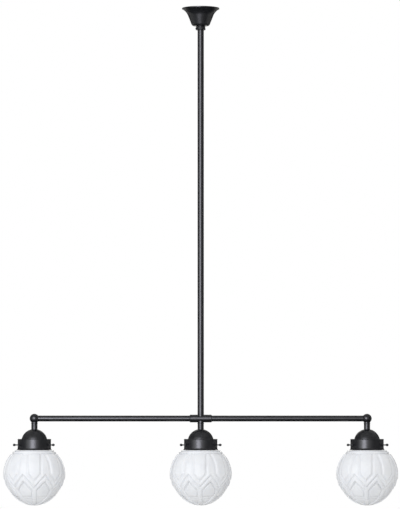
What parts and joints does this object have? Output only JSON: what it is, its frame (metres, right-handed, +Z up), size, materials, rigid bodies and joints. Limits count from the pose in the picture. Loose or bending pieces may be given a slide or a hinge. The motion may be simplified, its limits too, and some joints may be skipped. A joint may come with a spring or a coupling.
{
  "type": "linear island pendant",
  "caption": "Straight black island pendant: globes of pressed opal glass in round galleries under a level beam, hung by a rod from a flared canopy.",
  "frame": {"origin": "on the ceiling, at the centre of the ceiling plate's top face", "axes": "+X along the beam to the right, +Y away from the front, +Z up"},
  "size_m": [0.9988, 0.1568, 1.2677],
  "materials": {
    "black_paint": "satin black",
    "black_screw": "satin black",
    "opal_glass": "glossy opal white, pressed relief",
    "zinc_steel": "zinc plated",
    "brass": "plain",
    "porcelain": "glazed",
    "white_plastic": "moulded",
    "black_plastic": "moulded",
    "bulb_metal": "bright",
    "bulb_glass": "frosted white"
  },
  "bodies": {
    "ceiling_hardware": {"ceiling_plate": "zinc_steel", "ceiling_hook": "zinc_steel", "terminal_block": "white_plastic", "earth_screw": "brass"},
    "roller": {"hook_roller": "porcelain"},
    "pendant": {"stirrup": "zinc_steel", "stirrup_pin": "zinc_steel", "rod_top_stud": "zinc_steel", "rod_nut": "zinc_steel", "rod": "black_paint", "rod_foot_stud": "zinc_steel", "cross_fitting": "black_paint", "beam_left": "black_paint", "beam_right": "black_paint", "elbow_left": "black_paint", "elbow_right": "black_paint", "stem_left": "black_paint", "stem_pipe_left": "zinc_steel", "dome_cap_left": "black_paint", "lampholder_left": "black_plastic", "screw_shell_left": "brass", "shade_ring_left": "black_plastic", "gallery_left": "black_paint", "stem_middle": "black_paint", "stem_pipe_middle": "zinc_steel", "dome_cap_middle": "black_paint", "lampholder_middle": "black_plastic", "screw_shell_middle": "brass", "shade_ring_middle": "black_plastic", "gallery_middle": "black_paint", "stem_right": "black_paint", "stem_pipe_right": "zinc_steel", "dome_cap_right": "black_paint", "lampholder_right": "black_plastic", "screw_shell_right": "brass", "shade_ring_right": "black_plastic", "gallery_right": "black_paint"},
    "canopy": {"canopy": "black_paint", "canopy_collar": "black_paint"},
    "collar_screw": {"collar_screw": "black_screw"},
    "globe_left": {"globe_left": "opal_glass"},
    "bulb_left": {"bulb_cap_left": "bulb_metal", "bulb_glass_left": "bulb_glass"},
    "thumbscrew_left_front_left": {"thumbscrew_left_front_left": "black_screw"},
    "thumbscrew_left_front_right": {"thumbscrew_left_front_right": "black_screw"},
    "thumbscrew_left_back": {"thumbscrew_left_back": "black_screw"},
    "globe_middle": {"globe_middle": "opal_glass"},
    "bulb_middle": {"bulb_cap_middle": "bulb_metal", "bulb_glass_middle": "bulb_glass"},
    "thumbscrew_middle_front_left": {"thumbscrew_middle_front_left": "black_screw"},
    "thumbscrew_middle_front_right": {"thumbscrew_middle_front_right": "black_screw"},
    "thumbscrew_middle_back": {"thumbscrew_middle_back": "black_screw"},
    "globe_right": {"globe_right": "opal_glass"},
    "bulb_right": {"bulb_cap_right": "bulb_metal", "bulb_glass_right": "bulb_glass"},
    "thumbscrew_right_front_left": {"thumbscrew_right_front_left": "black_screw"},
    "thumbscrew_right_front_right": {"thumbscrew_right_front_right": "black_screw"},
    "thumbscrew_right_back": {"thumbscrew_right_back": "black_screw"}
  },
  "joints": [
    {"name": "swing_front_back", "type": "hinge", "parent": "ceiling_hardware", "child": "roller", "pos_m": [0, 0, -0.026], "axis": [1, 0, 0], "range_deg": [-2, 2]},
    {"name": "swing_left_right", "type": "hinge", "parent": "roller", "child": "pendant", "pos_m": [0, 0, -0.0189], "axis": [0, 1, 0], "range_deg": [-2, 2]},
    {"name": "canopy_drop", "type": "slide", "parent": "pendant", "child": "canopy", "axis": [0, 0, -1], "range_m": [0, 0.965]},
    {"name": "collar_screw_out", "type": "slide", "parent": "canopy", "child": "collar_screw", "axis": [-1, 0, 0], "range_m": [0, 0.003]},
    {"name": "globe_turn_left", "type": "hinge", "parent": "pendant", "child": "globe_left", "pos_m": [-0.421, 0, -1.1892], "axis": [0, 0, 1], "continuous": true},
    {"name": "bulb_out_left", "type": "slide", "parent": "pendant", "child": "bulb_left", "axis": [0, 0, -1], "range_m": [0, 0.022]},
    {"name": "thumbscrew_left_front_left_out", "type": "slide", "parent": "pendant", "child": "thumbscrew_left_front_left", "axis": [-0.866, -0.5, 0], "range_m": [0, 0.006]},
    {"name": "thumbscrew_left_front_right_out", "type": "slide", "parent": "pendant", "child": "thumbscrew_left_front_right", "axis": [0.866, -0.5, 0], "range_m": [0, 0.006]},
    {"name": "thumbscrew_left_back_out", "type": "slide", "parent": "pendant", "child": "thumbscrew_left_back", "axis": [0, 1, 0], "range_m": [0, 0.006]},
    {"name": "globe_turn_middle", "type": "hinge", "parent": "pendant", "child": "globe_middle", "pos_m": [0, 0, -1.1892], "axis": [0, 0, 1], "continuous": true},
    {"name": "bulb_out_middle", "type": "slide", "parent": "pendant", "child": "bulb_middle", "axis": [0, 0, -1], "range_m": [0, 0.022]},
    {"name": "thumbscrew_middle_front_left_out", "type": "slide", "parent": "pendant", "child": "thumbscrew_middle_front_left", "axis": [-0.866, -0.5, 0], "range_m": [0, 0.006]},
    {"name": "thumbscrew_middle_front_right_out", "type": "slide", "parent": "pendant", "child": "thumbscrew_middle_front_right", "axis": [0.866, -0.5, 0], "range_m": [0, 0.006]},
    {"name": "thumbscrew_middle_back_out", "type": "slide", "parent": "pendant", "child": "thumbscrew_middle_back", "axis": [0, 1, 0], "range_m": [0, 0.006]},
    {"name": "globe_turn_right", "type": "hinge", "parent": "pendant", "child": "globe_right", "pos_m": [0.421, 0, -1.1892], "axis": [0, 0, 1], "continuous": true},
    {"name": "bulb_out_right", "type": "slide", "parent": "pendant", "child": "bulb_right", "axis": [0, 0, -1], "range_m": [0, 0.022]},
    {"name": "thumbscrew_right_front_left_out", "type": "slide", "parent": "pendant", "child": "thumbscrew_right_front_left", "axis": [-0.866, -0.5, 0], "range_m": [0, 0.006]},
    {"name": "thumbscrew_right_front_right_out", "type": "slide", "parent": "pendant", "child": "thumbscrew_right_front_right", "axis": [0.866, -0.5, 0], "range_m": [0, 0.006]},
    {"name": "thumbscrew_right_back_out", "type": "slide", "parent": "pendant", "child": "thumbscrew_right_back", "axis": [0, 1, 0], "range_m": [0, 0.006]}
  ]
}
